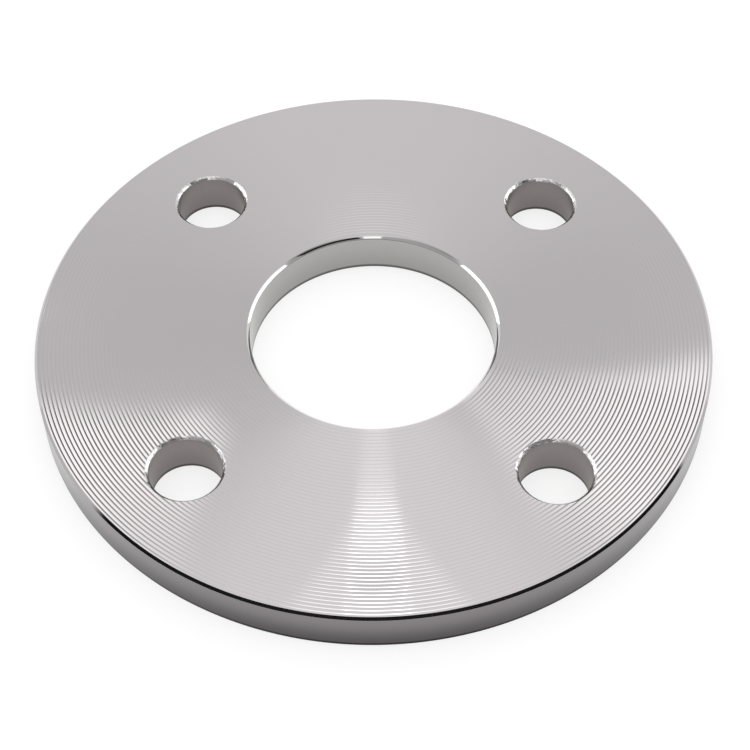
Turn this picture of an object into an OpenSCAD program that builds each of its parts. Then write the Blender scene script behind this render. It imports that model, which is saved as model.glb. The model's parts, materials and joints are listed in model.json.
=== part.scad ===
// Round steel plate flange: a disc with a pipe bore, a ring of bolt holes and a turned gasket face.
// Millimetres. The origin is on the axis at the back face, and +Z points out of the gasket face.

/* [Plate] */
// Outside diameter of the plate
outer_d = 134; // [124:1:160]
// Thickness, from the back face to the flat lands of the gasket face
plate_t = 9; // [6:0.5:16]
// Width of the 45 degree chamfer round the rim of the gasket face
rim_chamfer = 0.5; // [0.2:0.1:2]

/* [Pipe bore] */
// Diameter of the bore that the pipe slips into
bore_d = 49.2; // [30:0.1:62]
// Width of the 45 degree chamfer at the mouth of the bore
bore_chamfer = 0.6; // [0.2:0.1:2]

/* [Bolt holes] */
// Number of bolt holes, spaced evenly round the plate
bolt_count = 4; // [3:1:8]
// Diameter of the circle that the bolt holes are centred on
bolt_circle_d = 98; // [86:1:106]
// Diameter of each bolt hole
bolt_hole_d = 14; // [8:0.5:18]
// Width of the 45 degree chamfer at the mouth of each bolt hole
hole_chamfer = 0.6; // [0.2:0.1:1.5]

/* [Gasket face] */
// Feed of the facing tool for each turn, which is the spacing of the grooves
groove_pitch = 0.8; // [0.6:0.1:1.6]
// Depth of each groove below the flat lands
groove_depth = 0.035; // [0.02:0.005:0.1]
// Width of each groove's wall on the side of the rim
rim_wall_w = 0.14; // [0.1:0.02:0.24]
// Width of each groove's wall on the side of the bore
bore_wall_w = 0.18; // [0.1:0.02:0.28]

/* [Back face] */
// Width of the small chamfer that breaks each edge of the back face
edge_break = 0.2; // [0.1:0.05:0.5]

/* [Hidden] */
$fn = 180;

outer_r = outer_d / 2;
bore_r = bore_d / 2;
// The gasket face runs from the rim chamfer inwards to the mouth of the bore, and holds whole grooves only
face_r = outer_r - rim_chamfer;
mouth_r = bore_r + bore_chamfer;
groove_count = floor((face_r - mouth_r) / groove_pitch);
// How far a tool runs past each face
overrun = 1;
// The bolt holes straddle the flange's centre lines
first_hole_angle = 180 / bolt_count;

// Half section of the plate, bored, chamfered and faced flat
module plate_section() {
    polygon([
        [bore_r + edge_break, 0],
        [outer_r - edge_break, 0],
        [outer_r, edge_break],
        [outer_r, plate_t - rim_chamfer],
        [face_r, plate_t],
        [mouth_r, plate_t],
        [bore_r, plate_t - bore_chamfer],
        [bore_r, edge_break],
    ]);
}

// The shallow groove that the tool's corner leaves at each turn of its feed, from the rim inwards
module gasket_grooves() {
    for (turn = [0 : groove_count - 1])
        translate([face_r - groove_pitch * (turn + 0.5), plate_t])
            polygon([
                [-bore_wall_w, 0],
                [0, -groove_depth],
                [rim_wall_w, 0],
                [rim_wall_w, overrun],
                [-bore_wall_w, overrun],
            ]);
}

// All that the lathe makes: the disc, its bore, the chamfers and the grooved gasket face
module turned_disc() {
    rotate_extrude()
        difference() {
            plate_section();
            gasket_grooves();
        }
}

// One drilled bolt hole, chamfered at the gasket face and with its edge broken at the back
module bolt_hole() {
    translate([0, 0, -overrun])
        cylinder(h = plate_t + 2 * overrun, d = bolt_hole_d);
    translate([0, 0, plate_t - hole_chamfer])
        cylinder(h = hole_chamfer + overrun,
                 d1 = bolt_hole_d,
                 d2 = bolt_hole_d + 2 * (hole_chamfer + overrun));
    translate([0, 0, -overrun])
        cylinder(h = overrun + edge_break,
                 d1 = bolt_hole_d + 2 * (overrun + edge_break),
                 d2 = bolt_hole_d);
}

module flange() {
    color("silver")
        difference() {
            turned_disc();
            for (hole = [0 : bolt_count - 1])
                rotate(first_hole_angle + 360 * hole / bolt_count)
                    translate([bolt_circle_d / 2, 0, 0])
                        bolt_hole();
        }
}

flange();
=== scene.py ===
# %% [markdown]
# # A turned steel flange
# This lesson dresses a plate flange: a steel disc with a pipe bore, four bolt holes and a gasket face that a lathe
# has covered with fine rings. The solid model is loaded first and never moved. It gives the sizes and the frame,
# and everything made below fits it because it is made from those sizes.

# %% Load the solid model as the fixed frame
import json
import math
from types import SimpleNamespace

import bpy
from mathutils import Matrix, Vector


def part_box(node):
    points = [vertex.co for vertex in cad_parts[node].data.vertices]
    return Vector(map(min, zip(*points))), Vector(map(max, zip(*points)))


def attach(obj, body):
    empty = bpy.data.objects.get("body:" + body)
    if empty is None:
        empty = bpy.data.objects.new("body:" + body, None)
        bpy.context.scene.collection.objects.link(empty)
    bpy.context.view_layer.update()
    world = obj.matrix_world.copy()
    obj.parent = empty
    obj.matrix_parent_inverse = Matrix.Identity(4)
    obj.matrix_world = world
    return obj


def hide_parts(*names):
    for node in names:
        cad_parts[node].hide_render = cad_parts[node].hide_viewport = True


MM = 0.001

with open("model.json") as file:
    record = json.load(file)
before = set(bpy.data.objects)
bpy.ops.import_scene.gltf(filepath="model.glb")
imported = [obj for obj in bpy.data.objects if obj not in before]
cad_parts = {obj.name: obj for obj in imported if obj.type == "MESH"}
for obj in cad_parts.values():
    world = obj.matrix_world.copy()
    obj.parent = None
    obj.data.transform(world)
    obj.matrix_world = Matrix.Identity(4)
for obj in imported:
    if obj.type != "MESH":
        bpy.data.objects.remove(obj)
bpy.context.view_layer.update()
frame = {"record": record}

# %% [markdown]
# ## Sizes
# The frame knows the outside size and the mounts, so the outer radius, the thickness, the bore and the bolt holes
# are read from it. The small sizes that no mount states are written here once, in millimetres.

# %% Read the sizes and name the small ones
mounts = {mount["name"]: mount["dims"] for mount in frame["record"]["mounts"]}
_, flange_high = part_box("flange")

OUTER_R = max(flange_high.x, flange_high.y)
PLATE_T = flange_high.z
BORE_R = mounts["pipe_bore"]["r_mm"] * MM
BOLT_COUNT = mounts["bolt_holes"]["count"]
BOLT_CIRCLE_R = mounts["bolt_holes"]["pcd_mm"] / 2 * MM
BOLT_HOLE_R = mounts["bolt_holes"]["hole_r_mm"] * MM
RIM_CHAMFER = 0.5 * MM
BORE_CHAMFER = 0.6 * MM
HOLE_CHAMFER = 0.6 * MM
EDGE_BREAK = 0.2 * MM
GROOVE_PITCH = 0.8 * MM
GROOVE_DEPTH = 0.035 * MM
RIM_WALL_W = 0.14 * MM
BORE_WALL_W = 0.18 * MM
print(f"outer radius {OUTER_R:.4f} m, bore radius {BORE_R:.4f} m, plate {PLATE_T:.4f} m thick")

# %% [markdown]
# ## Writing nodes as sums
# Geometry and shaders are both node trees, and a tree is easier to read as arithmetic than as a list of links.
# A Wire is one output of a node. Adding or multiplying two wires adds a Math node, and any other node comes from
# the tree's `add`, which sets the node's settings first and then its sockets. Soft steps are wanted often, so they
# have a method of their own, and a tree's length is its number of nodes.

# %% A wire and the tree that it belongs to
def find_socket(sockets, key):
    """A socket by its identifier, or else by its name or its place in the list."""
    for socket in sockets:
        if socket.identifier == key:
            return socket
    return sockets[key]


class Wire:
    """One output of a node, with the operators of plain numbers."""

    def __init__(self, tree, node, output=0):
        self.tree = tree
        self.node = node
        self.output = output

    @property
    def socket(self):
        return find_socket(self.node.outputs, self.output)

    def out(self, output):
        return Wire(self.tree, self.node, output)

    def maths(self, operation, *values):
        return self.tree.add("ShaderNodeMath", {"operation": operation}, dict(enumerate(values)))

    def __add__(self, other):
        return self.maths("ADD", self, other)

    def __sub__(self, other):
        return self.maths("SUBTRACT", self, other)

    def __rsub__(self, other):
        return self.maths("SUBTRACT", other, self)

    def __mul__(self, other):
        return self.maths("MULTIPLY", self, other)

    def __truediv__(self, other):
        return self.maths("DIVIDE", self, other)

    def __gt__(self, other):
        return self.maths("GREATER_THAN", self, other)

    def __lt__(self, other):
        return self.maths("LESS_THAN", self, other)

    __radd__ = __add__
    __rmul__ = __mul__


class Tree:
    """A node tree that is filled by short lines of code."""

    def __init__(self, nodes_and_links):
        self.data = nodes_and_links
        self.data.nodes.clear()

    def __len__(self):
        return len(self.data.nodes)

    def add(self, kind, settings=None, sockets=None, output=0):
        node = self.data.nodes.new(kind)
        for name, value in (settings or {}).items():
            if name == "choices":
                while len(node.index_switch_items) < value:
                    node.index_switch_items.new()
            else:
                setattr(node, name, value)
        for key, value in (sockets or {}).items():
            socket = find_socket(node.inputs, key)
            if isinstance(value, Wire):
                self.data.links.new(value.socket, socket)
            else:
                socket.default_value = value
        return Wire(self, node, output)

    def smooth(self, value, low, high, to_low=0.0, to_high=1.0):
        """A soft step of value, from to_low at low to to_high at high."""
        sockets = {"Value": value, "From Min": low, "From Max": high, "To Min": to_low, "To Max": to_high}
        return self.add("ShaderNodeMapRange", {"interpolation_type": "SMOOTHSTEP"}, sockets)


print("the node helpers are ready")

# %% [markdown]
# ## The camera
# The camera stands where the photograph was taken: close to the flange, above it and a little to one side of the
# line between two bolt holes. Its place and lens come from fitting the rim, the bore and the four holes to their
# edges in the picture, so the proportions of the render can be compared with it directly.

# %% Place the camera
PICTURE_PX = 750
FOCAL_PX = 1799.5
SENSOR_MM = 36.0
CLIP_START = 10 * MM
CAMERA_DISTANCE = 358.2 * MM
CAMERA_TURN = math.radians(1.2716)
CAMERA_RISE = math.radians(49.785)
AIM_DOWN = math.radians(51.227)
AIM_ASIDE = math.radians(0.0639)
CAMERA_ROLL = math.radians(0.5386)


def photograph_camera():
    """The camera that saw the flange, turned about the flange's axis with the bolt holes."""
    rim_centre = Vector((0, 0, PLATE_T - RIM_CHAMFER))
    stand = Vector((0, -math.cos(CAMERA_RISE), math.sin(CAMERA_RISE))) * CAMERA_DISTANCE
    forward = Vector((
        math.sin(AIM_ASIDE) * math.cos(AIM_DOWN),
        math.cos(AIM_ASIDE) * math.cos(AIM_DOWN),
        -math.sin(AIM_DOWN),
    ))
    right = Vector((math.cos(AIM_ASIDE), -math.sin(AIM_ASIDE), 0))
    up = right.cross(forward)
    rolled_right = right * math.cos(CAMERA_ROLL) - up * math.sin(CAMERA_ROLL)
    rolled_up = right * math.sin(CAMERA_ROLL) + up * math.cos(CAMERA_ROLL)
    axes = Matrix((rolled_right, rolled_up, -forward)).transposed().to_4x4()
    turn = Matrix.Rotation(CAMERA_TURN, 4, "Z")
    data = bpy.data.cameras.new("photograph_camera")
    data.sensor_width = SENSOR_MM
    data.lens = FOCAL_PX / PICTURE_PX * SENSOR_MM
    data.clip_start = CLIP_START
    camera = bpy.data.objects.new("photograph_camera", data)
    camera.matrix_world = Matrix.Translation(rim_centre) @ turn @ Matrix.Translation(stand) @ axes
    bpy.context.scene.collection.objects.link(camera)
    return camera


camera = photograph_camera()
bpy.context.scene.camera = camera
bpy.context.scene.view_settings.view_transform = "Standard"
print("camera at, mm:", [round(x / MM, 1) for x in camera.matrix_world.translation])

# %% [markdown]
# ## The turned steel
# Bare steel has little colour of its own: nearly all that is seen is the room, mirrored. So the base colours are plain
# greys, the metal is nearly smooth, and the finish is in what breaks up the mirror. Five tools have been at work. The
# facing tool left the gasket face bright, with hair-fine rings. The boring and turning tools left the bore and the rim
# duller, with rings one above another. The drill left the bolt holes dark. The darker colours of the walls are partly
# painted shade as well, for the shadowed floor that they mirror, and the walls are painted darker still towards the
# floor. The countersink left the chamfers at the mouths brightest, and tore the edges of the bolt holes a little. The
# back was only skimmed flat.
# Each surface could have a material of its own. Here one material works out which surface it is on, because the marks
# then run on from one surface to the next, and all of it is one piece of steel.

# %% Find where on the flange a point is
MASK_MARGIN = 0.01 * MM
BORE_BAND = 0.3 * MM
BACK_BAND = 0.05 * MM
WALL_TOP = (PLATE_T - 0.45 * MM, PLATE_T - 0.60 * MM)


def length(across, along):
    """The length of a line from its two sides."""
    return across.maths("SQRT", across * across + along * along)


def flange_places(tree):
    """A point's place on the flange, with masks that are one on a surface and nought elsewhere."""
    place = tree.add("ShaderNodeTexCoord", output="Object")
    x = tree.add("ShaderNodeSeparateXYZ", sockets={0: place})
    y, height = x.out("Y"), x.out("Z")
    radius = length(x, y)
    # The angle is folded onto one bolt hole, so one sum measures from the nearest hole
    share = 2 * math.pi / BOLT_COUNT
    turn = x.maths("WRAP", x.maths("ARCTAN2", y, x), share, 0.0) - share / 2
    from_hole = length(radius * turn.maths("COSINE", turn) - BOLT_CIRCLE_R, radius * turn.maths("SINE", turn))
    back = height < BACK_BAND
    return SimpleNamespace(
        place=place,
        height=height,
        radius=radius,
        from_hole=from_hole,
        hole=from_hole < BOLT_HOLE_R + HOLE_CHAMFER + MASK_MARGIN,
        bore=radius < BORE_R + BORE_BAND,
        mouth=radius < BORE_R + BORE_CHAMFER - MASK_MARGIN,
        back=back,
        wall=tree.smooth(height, *WALL_TOP) * (1.0 - back),
    )


steel_material = bpy.data.materials.new("turned_steel")
steel_material.use_nodes = True
steel_nodes = Tree(steel_material.node_tree)
at = flange_places(steel_nodes)
print("places on the flange:", len(steel_nodes), "nodes")

# %% [markdown]
# ## Tool marks
# A tool that is held against turning work leaves rings. One noise serves them all: on the faces it changes only
# with the radius, and on the walls only with the height. A second noise is the faint cloud that handling and oil
# leave, and a third, much finer, is the grain of the torn edges. Noise needs no picture, so the marks stay sharp
# close up.

# %% Draw the marks of the tools
RINGS_PER_MM = 9.0
RING_DETAIL = 3.0
RING_CLIMB = 1.7
CLOUDS_PER_M = 45.0
TEARS_PER_M = 900.0
GRAIN_DETAIL = 2.0
NOISE_MIDDLE = 0.5


def tool_marks(tree, at):
    """The three noises, each about the same middle."""

    def grain(scale):
        return tree.add("ShaderNodeTexNoise", sockets={"Vector": at.place, "Scale": scale, "Detail": GRAIN_DETAIL})

    rings = tree.add(
        "ShaderNodeTexNoise",
        {"noise_dimensions": "1D"},
        {"W": (at.radius + at.height * RING_CLIMB) / MM, "Scale": RINGS_PER_MM, "Detail": RING_DETAIL},
    )
    return SimpleNamespace(rings=rings, cloud=grain(CLOUDS_PER_M), torn=grain(TEARS_PER_M))


marks = tool_marks(steel_nodes, at)
print("with the tool marks:", len(steel_nodes), "nodes")

# %% Colour each worked surface
FACE_COLOUR = (0.534, 0.510, 0.517, 1.0)
EDGE_COLOUR = (0.740, 0.720, 0.722, 1.0)
BACK_COLOUR = (0.430, 0.425, 0.425, 1.0)
# The walls' colours are darker partly for their duller finish and partly as painted shade for the shadowed floor that
# they mirror
RIM_COLOUR = (0.221, 0.204, 0.211, 1.0)
BORE_COLOUR = (0.405, 0.400, 0.390, 1.0)
HOLE_COLOUR = (0.288, 0.264, 0.258, 1.0)
BASE_TONE = 0.985
CLOUD_TONE = 0.03
FACE_RING_TONE = 0.02
WALL_RING_TONE = 0.10
# Painted shade: how much darker each wall is painted towards the floor, standing in for the shadowed floor that it
# mirrors
RIM_SHADE = 0.66
BORE_SHADE = 0.16
HOLE_SHADE = 0.26
SHADE_SPAN = (PLATE_T * 0.9, PLATE_T * 0.05)
# Painted contact shadow: how much darker the foot of each wall is painted, as if in its own shadow on the floor
RIM_FOOT_SHADE = 0.90
INNER_FOOT_SHADE = 0.65
FOOT_SPAN = (1.1 * MM, 0.6 * MM)


def steel_colour(tree, at, marks):
    """The colour that each tool left, with painted shade that darkens the walls towards the floor and a painted contact
    shadow at their foot.
    """

    def blend(amount, first, second):
        sockets = {"Factor_Float": amount, "A_Color": first, "B_Color": second}
        return tree.add("ShaderNodeMix", {"data_type": "RGBA"}, sockets, output="Result_Color")

    walls = blend(at.hole, blend(at.bore, RIM_COLOUR, BORE_COLOUR), HOLE_COLOUR)
    faced = blend(at.hole.maths("MAXIMUM", at.hole, at.mouth), FACE_COLOUR, EDGE_COLOUR)
    worked = blend(at.back, blend(at.wall, faced, walls), BACK_COLOUR)
    marked = marks.cloud * CLOUD_TONE + (marks.rings - NOISE_MIDDLE) * (at.wall * WALL_RING_TONE + FACE_RING_TONE)
    # Painted shade: the walls grow darker towards the floor
    painted_wall_shade = tree.smooth(at.height, *SHADE_SPAN) * at.wall
    shade = RIM_SHADE - at.bore * (RIM_SHADE - BORE_SHADE) - at.hole * (RIM_SHADE - HOLE_SHADE)
    # Painted contact shadow: the foot of each wall is darkest
    foot = tree.smooth(at.height, *FOOT_SPAN) * at.wall
    foot_shade = RIM_FOOT_SHADE - (at.bore + at.hole) * (RIM_FOOT_SHADE - INNER_FOOT_SHADE)
    tone = (BASE_TONE + marked - painted_wall_shade * shade) * (1.0 - foot * foot_shade)
    return tree.add("ShaderNodeVectorMath", {"operation": "SCALE"}, {0: worked, "Scale": tone})


colour = steel_colour(steel_nodes, at, marks)
print("with the colours:", len(steel_nodes), "nodes")

# %% Roughen the metal, raise the marks and put the steel together
RING_SPAN = (0.2, 0.8)
FACE_ROUGHNESS = (0.035, 0.065)
WALL_ROUGHNESS = 0.11
CLOUD_ROUGHNESS = 0.10
HOLE_ROUGHNESS = 0.2
BACK_ROUGHNESS = 0.24
TORN_ROUGHNESS = 0.3
TORN_REACH = 0.6 * MM
RELIEF_UNIT = 0.01 * MM
FACE_RELIEF = 0.036
CUT_RELIEF = 0.084
TORN_RELIEF = 12.0


def finish_steel(tree, at, marks, colour):
    """The metal with its roughness and relief, both stronger where the countersink tore a bolt hole's edge."""
    ragged = BOLT_HOLE_R + HOLE_CHAMFER + (marks.torn - NOISE_MIDDLE) * TORN_REACH
    countersunk = (at.from_hole < ragged) * (1.0 - at.wall) * (1.0 - at.back)
    roughness = (
        tree.smooth(marks.rings, *RING_SPAN, *FACE_ROUGHNESS)
        + at.wall * (marks.cloud * CLOUD_ROUGHNESS + WALL_ROUGHNESS + at.hole * HOLE_ROUGHNESS)
        + at.back * BACK_ROUGHNESS
        + countersunk * marks.torn * TORN_ROUGHNESS
    )
    relief = (
        marks.rings * ((at.wall + at.back) * CUT_RELIEF + FACE_RELIEF)
        + countersunk * (marks.torn - NOISE_MIDDLE) * TORN_RELIEF
    )
    bump = tree.add("ShaderNodeBump", sockets={"Strength": 1.0, "Distance": RELIEF_UNIT, "Height": relief})
    steel = tree.add(
        "ShaderNodeBsdfPrincipled",
        sockets={"Base Color": colour, "Metallic": 1.0, "Roughness": roughness, "Normal": bump},
    )
    tree.add("ShaderNodeOutputMaterial", sockets={"Surface": steel})


finish_steel(steel_nodes, at, marks, colour)
print("material:", steel_material.name, "with", len(steel_nodes), "nodes")

# %% [markdown]
# ## The flange
# A lathe makes nearly all of the flange in one go: a section is turned round the axis. So the mesh is made the same
# way. A Geometry Nodes tree draws the section as one closed line and sweeps it round a circle. The gasket face is the
# long part of that line. At each turn of its feed the facing tool leaves a flat land, and its corner leaves a shallow
# groove between two lands, with the steeper wall on the side of the rim. Deburring has crowned the chamfers at the
# mouths slightly, so a light that they mirror tapers at its ends. The bolt holes come last, as they do in the workshop:
# one drill with its chamfers, repeated round the bolt circle, is taken away from the disc.

# %% Start the tree, with the flange's sizes as its inputs
FLANGE_SIZES = {
    "Outer Radius": OUTER_R,
    "Bore Radius": BORE_R,
    "Thickness": PLATE_T,
    "Rim Chamfer": RIM_CHAMFER,
    "Bore Chamfer": BORE_CHAMFER,
    "Hole Chamfer": HOLE_CHAMFER,
    "Edge Break": EDGE_BREAK,
    "Groove Pitch": GROOVE_PITCH,
    "Groove Depth": GROOVE_DEPTH,
    "Rim Wall Width": RIM_WALL_W,
    "Bore Wall Width": BORE_WALL_W,
    "Bolt Circle Radius": BOLT_CIRCLE_R,
    "Bolt Hole Radius": BOLT_HOLE_R,
}

flange_group = bpy.data.node_groups.new("turned_flange", "GeometryNodeTree")
flange_nodes = Tree(flange_group)
flange_group.interface.new_socket("Geometry", in_out="OUTPUT", socket_type="NodeSocketGeometry")
for name in FLANGE_SIZES:
    flange_group.interface.new_socket(name, in_out="INPUT", socket_type="NodeSocketFloat")
inputs = flange_nodes.add("NodeGroupInput")
size = {name: inputs.out(name) for name in FLANGE_SIZES}
print("inputs of the tree:", ", ".join(size))

# %% Draw the grooved face
POINTS_PER_GROOVE = 3


def gasket_line(size, index):
    """Radius and height of a point of the grooved face, counted inwards from the rim, and the number of points."""
    face_r = size["Outer Radius"] - size["Rim Chamfer"]
    mouth_r = size["Bore Radius"] + size["Bore Chamfer"]
    grooves = index.maths("FLOOR", (face_r - mouth_r) / size["Groove Pitch"])
    # The first point is the edge of the face, and each groove then has a rim edge, a bottom and a bore edge
    groove = index.maths("FLOOR", (index - 1) / POINTS_PER_GROOVE)
    corner = index - 1 - groove * POINTS_PER_GROOVE
    rim_edge = corner < 0.5
    bore_edge = corner > 1.5
    bottom_r = face_r - (groove + 0.5) * size["Groove Pitch"]
    edge_r = bottom_r + rim_edge * size["Rim Wall Width"] - bore_edge * size["Bore Wall Width"]
    radius = index.maths("MINIMUM", edge_r, face_r)
    height = size["Thickness"] - (1 - rim_edge - bore_edge) * size["Groove Depth"]
    return radius, height, grooves * POINTS_PER_GROOVE + 1


index = flange_nodes.add("GeometryNodeInputIndex")
face_line = gasket_line(size, index)
print("grooved face:", len(flange_nodes), "nodes")

# %% Draw the rest of the section
CROWN = 0.035
CROWN_STEPS = 4


def crown(along):
    """How far a deburred chamfer stands proud of its straight line, as a share of its width."""
    return along * (1 - along) * (4 * CROWN / math.sqrt(2))


def section_corners(size):
    """The section's other corners, from the bore's mouth down, out along the back and up the rim."""
    outer = size["Outer Radius"]
    bore = size["Bore Radius"]
    broken = size["Edge Break"]
    top = size["Thickness"]
    mouth = []
    for step in range(CROWN_STEPS + 1):
        along = step / CROWN_STEPS
        inwards = size["Bore Chamfer"] * (1 - along - crown(along))
        down = size["Bore Chamfer"] * (along - crown(along))
        mouth.append((bore + inwards, top - down))
    return mouth + [
        (bore, broken),
        (bore + broken, 0.0),
        (outer - broken, 0.0),
        (outer, broken),
        (outer, top - size["Rim Chamfer"]),
    ]


corners = section_corners(size)
print("corners after the grooved face:", len(corners))

# %% Sweep the section round the axis
STEPS_ROUND = 324


def turned_disc(tree, path_r, index, face_line, corners):
    """The closed section, swept round a circle of the path's radius."""
    face_r, face_z, face_points = face_line

    def profile_point(r, z):
        # The sweep turns a profile's X outwards from its circle and its Y downwards
        return tree.add("ShaderNodeCombineXYZ", sockets={"X": r - path_r, "Y": 0.0 - z})

    points = {f"Item_{k}": profile_point(r, z) for k, (r, z) in enumerate(corners)}
    corner = tree.add(
        "GeometryNodeIndexSwitch",
        {"data_type": "VECTOR", "choices": len(corners)},
        {"Index": index - face_points, **points},
    )
    place = tree.add(
        "GeometryNodeSwitch",
        {"input_type": "VECTOR"},
        {"Switch": index < face_points, "False": corner, "True": profile_point(face_r, face_z)},
    )
    line = tree.add("GeometryNodeMeshLine", sockets={"Count": face_points + len(corners)})
    shaped = tree.add("GeometryNodeSetPosition", sockets={"Geometry": line, "Position": place})
    curve = tree.add("GeometryNodeMeshToCurve", sockets={"Mesh": shaped})
    closed = tree.add("GeometryNodeSetSplineCyclic", sockets={"Geometry": curve, "Cyclic": True})
    circle = tree.add(
        "GeometryNodeCurvePrimitiveCircle", sockets={"Resolution": STEPS_ROUND, "Radius": path_r}
    )
    upright = tree.add("GeometryNodeSetCurveNormal", {"mode": "Z_UP"}, {"Curve": circle})
    swept = tree.add("GeometryNodeCurveToMesh", sockets={"Curve": upright, "Profile Curve": closed})
    # A line drawn from the rim inwards is swept with its faces inwards
    return tree.add("GeometryNodeFlipFaces", sockets={"Mesh": swept})


disc = turned_disc(flange_nodes, size["Outer Radius"], index, face_line, corners)
print("turned disc:", len(flange_nodes), "nodes")

# %% Repeat a drill round the bolt circle
STEPS_ROUND_HOLE = 96
DRILL_OVERRUN = 1 * MM
# The countersink runs a tenth past the face, so that none of its rings lies in the plane of the lands
COUNTERSINK_LENGTH = 1.1


def bolt_drills(tree, size):
    """One drill with a chamfer at each face of the plate, repeated round the bolt circle."""
    # The drill's rings, upwards: its wide foot, the broken edge, the countersink's steps and its wide top
    levels = CROWN_STEPS + 3
    rod = tree.add(
        "GeometryNodeMeshCylinder",
        {"fill_type": "NGON"},
        {"Vertices": STEPS_ROUND_HOLE, "Side Segments": levels, "Radius": 1.0, "Depth": levels},
    )
    spot = tree.add("ShaderNodeSeparateXYZ", sockets={0: tree.add("GeometryNodeInputPosition")})
    level = spot.out("Z") + levels / 2
    below = level < 0.5
    above = level > levels - 0.5
    countersink = level > 1.5
    low = 1 - below - countersink
    step = level.maths("MINIMUM", level.maths("MAXIMUM", level - 2, 0.0), CROWN_STEPS)
    along = step * (COUNTERSINK_LENGTH / CROWN_STEPS)
    radius = (
        size["Bolt Hole Radius"]
        + below * (size["Edge Break"] + DRILL_OVERRUN)
        + size["Hole Chamfer"] * (along - crown(along))
        + above * DRILL_OVERRUN
    )
    height = (
        below * -DRILL_OVERRUN
        + low * size["Edge Break"]
        + countersink * (size["Thickness"] + size["Hole Chamfer"] * (along + crown(along) - 1))
        + above * DRILL_OVERRUN
    )
    place = tree.add(
        "ShaderNodeCombineXYZ", sockets={"X": spot * radius, "Y": spot.out("Y") * radius, "Z": height}
    )
    drill = tree.add("GeometryNodeSetPosition", sockets={"Geometry": rod, "Position": place})
    centres = tree.add(
        "GeometryNodeMeshCircle", sockets={"Vertices": BOLT_COUNT, "Radius": size["Bolt Circle Radius"]}
    )
    straddling = tree.add(
        "GeometryNodeTransform",
        sockets={"Geometry": centres, "Rotation": (0.0, 0.0, math.pi / BOLT_COUNT)},
    )
    ring = tree.add("GeometryNodeInstanceOnPoints", sockets={"Points": straddling, "Instance": drill})
    return tree.add("GeometryNodeRealizeInstances", sockets={"Geometry": ring})


drills = bolt_drills(flange_nodes, size)
print("with the drills:", len(flange_nodes), "nodes")

# %% Drill the disc, keep its edges crisp and give it the steel
SHARP_ANGLE = math.radians(5)


def finish_flange(tree, disc, drills, material):
    """The drilled disc as the tree's output, with smooth curves that meet at sharp edges."""
    drilled = tree.add(
        "GeometryNodeMeshBoolean",
        {"operation": "DIFFERENCE", "solver": "MANIFOLD"},
        {"Mesh 1": disc, "Mesh 2": drills},
    )
    rounded = tree.add("GeometryNodeSetShadeSmooth", {"domain": "FACE"}, {"Geometry": drilled})
    bend = tree.add("GeometryNodeInputMeshEdgeAngle", output="Unsigned Angle")
    crisp = tree.add(
        "GeometryNodeSetShadeSmooth",
        {"domain": "EDGE"},
        {"Geometry": rounded, "Shade Smooth": bend < SHARP_ANGLE},
    )
    real = tree.add("GeometryNodeRealizeInstances", sockets={"Geometry": crisp})
    steel = tree.add("GeometryNodeSetMaterial", sockets={"Geometry": real, "Material": material})
    tree.add("NodeGroupOutput", sockets={0: steel})


finish_flange(flange_nodes, disc, drills, steel_material)
print("tree:", flange_group.name, "with", len(flange_nodes), "nodes")

# %% Make the flange's mesh
def make_flange(group):
    """The tree's result as a plain mesh object."""
    maker = bpy.data.objects.new("flange_maker", bpy.data.meshes.new("flange_maker"))
    bpy.context.scene.collection.objects.link(maker)
    modifier = maker.modifiers.new("turn and drill", "NODES")
    modifier.node_group = group
    for item in group.interface.items_tree:
        if item.in_out == "INPUT":
            modifier[item.identifier] = FLANGE_SIZES[item.name]
    graph = bpy.context.evaluated_depsgraph_get()
    mesh = bpy.data.meshes.new_from_object(maker.evaluated_get(graph))
    bpy.data.objects.remove(maker)
    mesh.name = "turned_flange"
    flange = bpy.data.objects.new("turned_flange", mesh)
    bpy.context.scene.collection.objects.link(flange)
    return flange


flange = make_flange(flange_group)
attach(flange, "root")
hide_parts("flange")
triangles = sum(len(face.vertices) - 2 for face in flange.data.polygons)
print(f"flange: {len(flange.data.polygons)} faces, {triangles} triangles")

# %% [markdown]
# ## The floor
# The flange lies on a plain white floor. A wide square is enough, because the surroundings are white too. It stays an
# ordinary dull surface, so it keeps the soft shadow under the rim, and the round wall mirrors that shadow. A little
# glow, seen only by the camera and in mirrors, brings the rest of it up to white.

# %% Lay the floor
FLOOR_HALF = 3.0
FLOOR_GAP = 0.02 * MM
FLOOR_COLOUR = (0.36, 0.36, 0.36, 1.0)
FLOOR_GLOW = 0.75


def white_floor():
    """A wide square just under the flange."""
    mesh = bpy.data.meshes.new("white_floor")
    square = [(x * FLOOR_HALF, y * FLOOR_HALF, -FLOOR_GAP) for x, y in ((-1, -1), (1, -1), (1, 1), (-1, 1))]
    mesh.from_pydata(square, [], [(0, 1, 2, 3)])
    material = bpy.data.materials.new("white_floor")
    material.use_nodes = True
    tree = Tree(material.node_tree)
    paint = tree.add("ShaderNodeBsdfDiffuse", sockets={"Color": FLOOR_COLOUR})
    path = tree.add("ShaderNodeLightPath", output="Is Camera Ray")
    mirrored = path.maths("MAXIMUM", path.out("Is Glossy Ray"), path.out("Is Transmission Ray"))
    seen = path.maths("MAXIMUM", path, mirrored)
    glow = tree.add("ShaderNodeEmission", sockets={"Strength": seen * FLOOR_GLOW})
    lit = tree.add("ShaderNodeAddShader", sockets={0: paint, 1: glow})
    tree.add("ShaderNodeOutputMaterial", sockets={"Surface": lit})
    mesh.materials.append(material)
    floor = bpy.data.objects.new("white_floor", mesh)
    bpy.context.scene.collection.objects.link(floor)
    return floor


floor = white_floor()
print("floor:", floor.name)

# %% [markdown]
# ## The studio
# A mirror shows its room, so the room is drawn with care. It could be built from walls and lamps, but a world shader
# draws it as sums of soft shapes, which are quicker to move. Places on the ceiling are measured from the spot that the
# middle of the face mirrors, so `angle` is also the angle on the face, in degrees, and `reach` grows with the radius.

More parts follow.
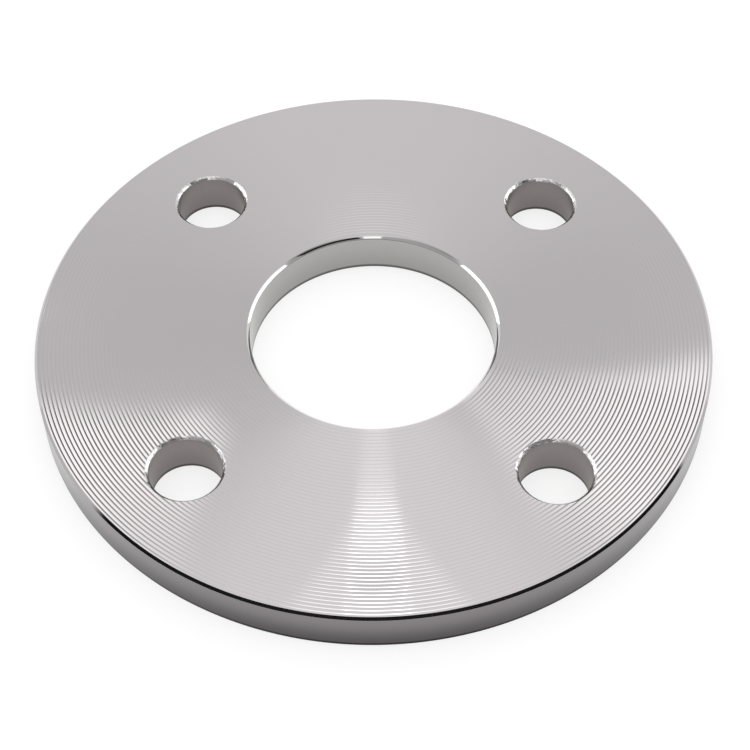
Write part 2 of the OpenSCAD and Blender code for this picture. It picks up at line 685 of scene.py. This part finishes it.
# %% Measure the room as the face mirrors it
MIRRORED_CENTRE = 0.845
LEAST_HEIGHT = 0.05
LEAST_REACH = 0.001
PATCH_END_SOFT = 0.012


class Room:
    """A direction into the room as the camera faces it, and the place on the ceiling that lies there."""

    def __init__(self, tree):
        position = tree.add("ShaderNodeNewGeometry", output="Position")
        turned = tree.add(
            "ShaderNodeVectorRotate", {"rotation_type": "Z_AXIS"}, {"Vector": position, "Angle": -CAMERA_TURN}
        )
        self.step = tree.smooth
        self.x = tree.add("ShaderNodeSeparateXYZ", sockets={0: turned})
        self.y, self.z = self.x.out("Y"), self.x.out("Z")
        height = self.z.maths("MAXIMUM", self.z, LEAST_HEIGHT)
        across = self.x / height
        along = self.y / height - MIRRORED_CENTRE
        self.reach = length(across, along)
        self.angle = across.maths("ARCTAN2", along, across) * math.degrees(1)
        self.sine = along.maths("ABSOLUTE", along / along.maths("MAXIMUM", self.reach, LEAST_REACH))

    def window(self, value, ends, soft):
        """One between two ends and nought outside them, with soft edges."""
        low, high = ends
        return self.step(value, low - soft, low + soft) * self.step(value, high + soft, high - soft)

    def patch(self, middle, spread, apex, ends, soft):
        """A patch of the ceiling about a middle angle, which widens with its distance from the apex."""
        turn = self.angle.maths("ABSOLUTE", self.angle - middle) - (self.reach - apex) * spread
        return self.step(turn, soft, -soft) * self.window(self.reach, ends, PATCH_END_SOFT)


studio = bpy.data.worlds.new("studio")
studio.use_nodes = True
studio_nodes = Tree(studio.node_tree)
room = Room(studio_nodes)
print("places in the room:", len(studio_nodes), "nodes")

# %% [markdown]
# ## Lamps and flags
# A flat land of the grooved face and the wall of the groove beside it mirror different parts of the ceiling. So lamps
# hang where only the lands mirror them, and black flags where only the walls do. Each of the two lamps makes one sector
# of the face bright, its flag draws a dark line along every groove there, and a narrow streak does the reverse towards
# the camera. Everywhere else lands and walls mirror the same white, and the grooves hardly show.

# %% Hang the lamps over the lands
LEFT_LAMP = {"middle": -142.5, "spread": 153, "apex": 0.098, "ends": (0.14, 0.256), "soft": 4}
LEFT_LIGHT = 0.95
LEFT_FADE = (-112, -148)
RIGHT_LAMP = {"middle": -36, "spread": 126, "apex": 0.007, "ends": (0.06, 0.256), "soft": 4}
# A soft step of four numbers leads from the third to the fourth, between the first place and the second
RIGHT_LIGHT = (0.07, 0.2, 0.32, 0.92)
RIGHT_FADE = (-62, -40)


def sector_lamps(room):
    """The lamps that make the left and the right sector of the face bright."""
    left = room.patch(**LEFT_LAMP) * room.step(room.angle, *LEFT_FADE) * LEFT_LIGHT
    right = room.patch(**RIGHT_LAMP) * room.step(room.angle, *RIGHT_FADE) * room.step(room.reach, *RIGHT_LIGHT)
    return left + right


lamps = sector_lamps(room)
print("with the lamps:", len(studio_nodes), "nodes")

# %% Hang the streak towards the camera
STREAK = {"ends": (-94, -85.5), "soft": 0.7}
STREAK_LANDS = {"ends": (0.02, 0.19), "soft": 0.03}
STREAK_LAND_LIGHT = 0.23
STREAK_DIP = {"ends": (0.20, 0.225), "soft": 0.012}
STREAK_DIP_LIGHT = -0.28
STREAK_WALLS = {"ends": (0.56, 0.74), "soft": 0.02}
STREAK_WALL_LIGHT = (0.59, 0.66, 0.1, 1.5)
STREAK_FAN = {"middle": -89.5, "spread": 150, "apex": 0.60, "ends": (0.62, 0.74), "soft": 2}
STREAK_FAN_LIGHT = 0.7


def camera_streak(room):
    """A narrow lamp, faint and then dark for the lands and bright for the walls, where it also fans out."""
    lands = room.window(room.reach, **STREAK_LANDS) * STREAK_LAND_LIGHT
    dip = room.window(room.reach, **STREAK_DIP) * STREAK_DIP_LIGHT
    walls = room.window(room.reach, **STREAK_WALLS) * room.step(room.reach, *STREAK_WALL_LIGHT)
    fan = room.patch(**STREAK_FAN) * STREAK_FAN_LIGHT
    return room.window(room.angle, **STREAK) * (lands + dip + walls) + fan


streak = camera_streak(room)
print("with the streak:", len(studio_nodes), "nodes")

# %% Hang the flags over the groove walls
LEFT_FLAG = {"middle": -143.3, "spread": 190, "apex": 0.505, "ends": (0.55, 0.74), "soft": 4}
RIGHT_FLAG = {"middle": -34, "spread": 93, "apex": 0.36, "ends": (0.48, 0.74), "soft": 4}
RIGHT_FLAG_OUT = (0.48, 0.60, 0.2, 0.95)
RIGHT_FLAG_ROUND = (-70, -25, 0.25, 1.0)


def sector_flags(room):
    """The black flags of the left and the right sector."""
    left = room.patch(**LEFT_FLAG) * room.step(room.angle, *LEFT_FADE)
    right = room.step(room.reach, *RIGHT_FLAG_OUT) * room.step(room.angle, *RIGHT_FLAG_ROUND)
    return left + room.patch(**RIGHT_FLAG) * right


flags = sector_flags(room)
print("with the flags:", len(studio_nodes), "nodes")

# %% [markdown]
# ## The room's walls
# The rest of the room is white, a little dimmer to the sides, so the face is too. Only the camera's side is grey, with
# two black strips, which the chamfers mirror: one as the black line round the front of the rim, the other as the dark
# arc at the mouth of the bore. The short bright arc beside it is a small lamp just below the camera.

# %% Paint the room white
SIDE_LIGHT = 0.83
AHEAD_LIGHT = 0.185
LANDS_END = 0.27
LAND_POWER = 2.0
WALL_POWER = 5.0
LIFT = {"ends": (-122, -58), "soft": 14}
LIFT_GAP = {"ends": (LANDS_END, 0.55), "soft": 0.012}
LIFT_LIGHT = 0.17
OUTER_BAND = {"ends": (0.20, 0.262), "soft": 0.03}
OUTER_LIGHT = 0.05


def white_walls(room):
    """White that falls off to the sides, faster for the groove walls, with a lift towards the camera."""
    power = LAND_POWER + (room.reach > LANDS_END) * (WALL_POWER - LAND_POWER)
    ahead = room.sine.maths("POWER", room.sine, power)
    lift = room.window(room.angle, **LIFT) * (1.0 - room.window(room.reach, **LIFT_GAP))
    outer = room.window(room.reach, **OUTER_BAND) * (1.0 - room.sine)
    return SIDE_LIGHT + ahead * AHEAD_LIGHT + lift * LIFT_LIGHT + outer * OUTER_LIGHT


white = white_walls(room)
print("with the white walls:", len(studio_nodes), "nodes")

# %% Darken the camera's side
GREY_FRONT = (-0.02, -0.30)
GREY_TOP = (0.82, 0.72)
GREY_DEPTH = (0.45, 0.62, 0.45, 0.62)
RIM_SLOPE = 0.38
RIM_STRIP = {"ends": (0.14, 0.25), "soft": 0.012}
RIM_FRONT = (-0.07, -0.17)
RIM_RIGHT = 0.5
RIM_RIGHT_END = (0.12, 0.06)
MOUTH_SLOPE = 0.327
MOUTH_STRIP = {"ends": (0.35, 0.54), "soft": 0.02}
MOUTH_ACROSS = {"ends": (0.13, 0.76), "soft": 0.03}
MOUTH_FRONT = -0.3


def camera_side(room):
    """How dark the camera's side is, with a strip along the slope that each chamfer mirrors."""
    x, y, z = room.x, room.y, room.z
    grey = room.step(y, *GREY_FRONT) * room.step(z, *GREY_TOP) * room.step(z, *GREY_DEPTH)
    rim_right = (x > RIM_RIGHT) * room.step(y, *RIM_RIGHT_END)
    rim_ends = y.maths("MAXIMUM", room.step(y, *RIM_FRONT), rim_right)
    rim_strip = room.window(z + y * RIM_SLOPE, **RIM_STRIP) * rim_ends
    mouth_ends = room.window(x, **MOUTH_ACROSS) * (y < MOUTH_FRONT)
    mouth_strip = room.window(z + y * MOUTH_SLOPE, **MOUTH_STRIP) * mouth_ends
    return y.maths("MAXIMUM", grey, y.maths("MAXIMUM", rim_strip, mouth_strip))


dark = camera_side(room)
print("with the camera's side:", len(studio_nodes), "nodes")

# %% Put the studio together
WHITE = (1.0, 1.0, 1.0, 1.0)
FLAG_DEPTH = 0.95
DARK_DEPTH = 0.985
CAMERA_LAMP_ACROSS = {"ends": (-0.1, 0.1), "soft": 0.01}
CAMERA_LAMP_UP = {"ends": (0.62, 0.75), "soft": 0.01}
CAMERA_LAMP_FRONT = -0.5
CAMERA_LAMP_LIGHT = 0.9


def camera_lamp(room):
    """A small lamp just below the camera."""
    spot = room.window(room.x, **CAMERA_LAMP_ACROSS) * room.window(room.z, **CAMERA_LAMP_UP)
    return spot * (room.y < CAMERA_LAMP_FRONT) * CAMERA_LAMP_LIGHT


def light_studio(tree, light):
    """The room's light for all that mirrors it, and plain white for the camera."""
    mirrored = tree.add("ShaderNodeBackground", sockets={"Color": WHITE, "Strength": light})
    plain = tree.add("ShaderNodeBackground", sockets={"Color": WHITE, "Strength": 1.0})
    seen = tree.add("ShaderNodeLightPath", output="Is Camera Ray")
    mix = tree.add("ShaderNodeMixShader", sockets={0: seen, 1: mirrored, 2: plain})
    tree.add("ShaderNodeOutputWorld", sockets={"Surface": mix})


walls = white * (1.0 - flags * FLAG_DEPTH) * (1.0 - dark * DARK_DEPTH)
light_studio(studio_nodes, walls + lamps + streak + camera_lamp(room))
bpy.context.scene.world = studio
print("world:", studio.name, "with", len(studio_nodes), "nodes")

# %% [markdown]
# ## The side lamps
# The long bright arcs to the left and right of the bore are two soft lamps that stand beside the flange, mirrored in
# its chamfer. They could be drawn in the world as well. Real area lamps are used because the renderer aims at a lamp
# directly, so even a narrow chamfer mirrors it with little noise, and the floor gets its share of their light.

# %% Stand a soft lamp at each side
SIDE_LAMP_PLACE = Vector((1.2, 0.33, 0.44))
SIDE_LAMP_SIZE = (1.26, 0.29)
SIDE_LAMP_LEAN = math.radians(-24)
SIDE_LAMP_LIGHT = 1.4


def side_lamp(name, side):
    """A long soft lamp that stands beside the flange, faces across it and leans down towards the back."""
    data = bpy.data.lights.new(name, "AREA")
    data.shape = "RECTANGLE"
    data.size, data.size_y = SIDE_LAMP_SIZE
    data.energy = SIDE_LAMP_LIGHT * math.pi * data.size * data.size_y
    lamp = bpy.data.objects.new(name, data)
    along = Vector((0, math.cos(SIDE_LAMP_LEAN), math.sin(SIDE_LAMP_LEAN)))
    outwards = Vector((side, 0, 0))
    axes = Matrix((along, outwards.cross(along), outwards)).transposed().to_4x4()
    place = Vector((side * SIDE_LAMP_PLACE.x, SIDE_LAMP_PLACE.y, SIDE_LAMP_PLACE.z))
    lamp.matrix_world = Matrix.Translation(place) @ axes
    bpy.context.scene.collection.objects.link(lamp)
    return lamp


side_lamps = [side_lamp("left_lamp", -1), side_lamp("right_lamp", 1)]
print("side lamps:", [f"{lamp.name} {lamp.data.energy:.2f} W" for lamp in side_lamps])
